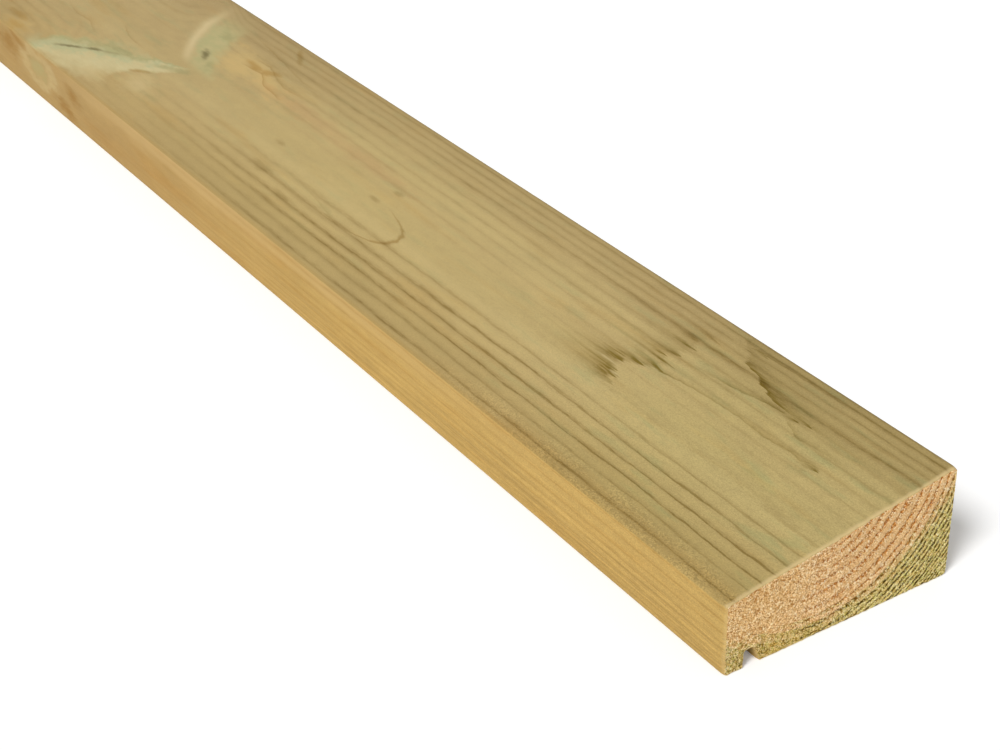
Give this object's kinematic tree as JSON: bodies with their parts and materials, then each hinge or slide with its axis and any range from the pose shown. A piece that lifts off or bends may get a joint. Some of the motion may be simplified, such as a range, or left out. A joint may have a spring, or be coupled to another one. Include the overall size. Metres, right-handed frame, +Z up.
{
  "type": "timber drip board",
  "caption": "Planed softwood drip board with a sloping weathered top, eased edges and a drip groove along its underside, for shedding rain clear of the wall below.",
  "frame": {"origin": "middle of the board's length and width, on the plane of its underside", "axes": "+X along the grain, -Y towards the drip nose, +Y towards the back, +Z up through the thickness"},
  "size_m": [1.8, 0.098, 0.0447],
  "materials": {
    "treated_softwood": "planed pressure-treated softwood, bare, with saw-cut ends"
  },
  "bodies": {
    "root": {"drip_board": "treated_softwood"}
  },
  "joints": []
}
